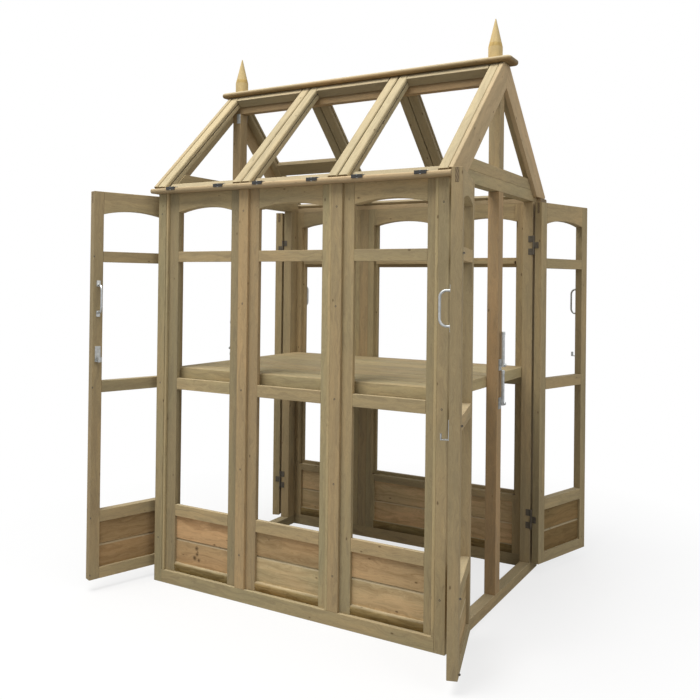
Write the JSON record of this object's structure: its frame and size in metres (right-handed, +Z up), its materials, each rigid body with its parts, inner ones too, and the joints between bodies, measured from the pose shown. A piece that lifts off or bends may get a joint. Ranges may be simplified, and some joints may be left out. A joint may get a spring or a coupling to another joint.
{
  "type": "glass greenhouse",
  "caption": "Small timber greenhouse frame with arched lights, paired doors in both gables, a steep open roof with turned finials and a slatted shelf inside.",
  "frame": {"origin": "on the ground under the middle of the house", "axes": "+X along the ridge, +Z up, the long wall in the picture's foreground faces -Y"},
  "size_m": [1.5016, 1.2704, 2.083],
  "materials": {
    "frame_timber": "planed softwood",
    "board_timber": "planed softwood",
    "orange_timber": "planed softwood",
    "galvanised_steel": "zinc plated",
    "dark_clip": "black satin"
  },
  "bodies": {
    "root": {"corner_posts": "frame_timber", "wall_cover_posts": "frame_timber", "wall_base_boards": "frame_timber", "wall_edge_beads": "frame_timber", "front_wall_stiles": "frame_timber", "front_wall_heads": "frame_timber", "front_wall_transoms": "frame_timber", "front_wall_low_rails": "frame_timber", "front_wall_infill": "board_timber", "back_wall_stiles": "frame_timber", "back_wall_heads": "frame_timber", "back_wall_transoms": "frame_timber", "back_wall_low_rails": "frame_timber", "back_wall_infill": "board_timber", "gable_sills": "frame_timber", "gable_jambs": "frame_timber", "gable_centre_posts": "orange_timber", "gable_tie_beams": "frame_timber", "gable_plates": "frame_timber", "gable_king_posts": "orange_timber", "gable_apex_angles": "galvanised_steel", "latch_brackets": "galvanised_steel", "front_roof_stiles": "frame_timber", "front_roof_rails": "frame_timber", "front_barge_boards": "board_timber", "back_roof_stiles": "frame_timber", "back_roof_rails": "frame_timber", "back_barge_boards": "board_timber", "eaves_boards": "board_timber", "ridge_beam": "orange_timber", "ridge_cap": "board_timber", "ridge_finials": "board_timber", "glazing_clips": "dark_clip", "shelf_boards": "board_timber", "shelf_bearers": "frame_timber", "shelf_ledgers": "frame_timber", "frame_hinges": "galvanised_steel"},
    "right_front_door": {"right_front_door_stiles": "frame_timber", "right_front_door_rails": "frame_timber", "right_front_door_infill": "board_timber", "right_front_door_hardware": "galvanised_steel"},
    "right_back_door": {"right_back_door_stiles": "frame_timber", "right_back_door_rails": "frame_timber", "right_back_door_infill": "board_timber", "right_back_door_hardware": "galvanised_steel"},
    "left_back_door": {"left_back_door_stiles": "frame_timber", "left_back_door_rails": "frame_timber", "left_back_door_infill": "board_timber", "left_back_door_hardware": "galvanised_steel"},
    "left_front_door": {"left_front_door_stiles": "frame_timber", "left_front_door_rails": "frame_timber", "left_front_door_infill": "board_timber", "left_front_door_hardware": "galvanised_steel"},
    "right_upper_drop_bar": {"right_upper_drop_bar": "galvanised_steel"},
    "right_lower_drop_bar": {"right_lower_drop_bar": "galvanised_steel"},
    "left_upper_drop_bar": {"left_upper_drop_bar": "galvanised_steel"},
    "left_lower_drop_bar": {"left_lower_drop_bar": "galvanised_steel"}
  },
  "joints": [
    {"name": "right_front_hinge", "type": "hinge", "parent": "root", "child": "right_front_door", "pos_m": [0.6145, -0.3385, 0.755], "axis": [0, 0, -1], "range_deg": [-162.5, 10.5]},
    {"name": "right_back_hinge", "type": "hinge", "parent": "root", "child": "right_back_door", "pos_m": [0.6145, 0.3385, 0.755], "axis": [0, 0, 1], "range_deg": [-161, 12]},
    {"name": "left_back_hinge", "type": "hinge", "parent": "root", "child": "left_back_door", "pos_m": [-0.6145, 0.3385, 0.755], "axis": [0, 0, -1], "range_deg": [-162.5, 10.5]},
    {"name": "left_front_hinge", "type": "hinge", "parent": "root", "child": "left_front_door", "pos_m": [-0.6145, -0.3385, 0.755], "axis": [0, 0, 1], "range_deg": [-161, 12]},
    {"name": "right_upper_drop_bar_pivot", "type": "hinge", "parent": "root", "child": "right_upper_drop_bar", "pos_m": [0.623, 0, 0.848], "axis": [1, 0, 0], "range_deg": [-90, 0]},
    {"name": "right_lower_drop_bar_pivot", "type": "hinge", "parent": "root", "child": "right_lower_drop_bar", "pos_m": [0.623, 0, 0.712], "axis": [-1, 0, 0], "range_deg": [-90, 0]},
    {"name": "left_upper_drop_bar_pivot", "type": "hinge", "parent": "root", "child": "left_upper_drop_bar", "pos_m": [-0.623, 0, 0.848], "axis": [-1, 0, 0], "range_deg": [-90, 0]},
    {"name": "left_lower_drop_bar_pivot", "type": "hinge", "parent": "root", "child": "left_lower_drop_bar", "pos_m": [-0.623, 0, 0.712], "axis": [1, 0, 0], "range_deg": [-90, 0]}
  ]
}
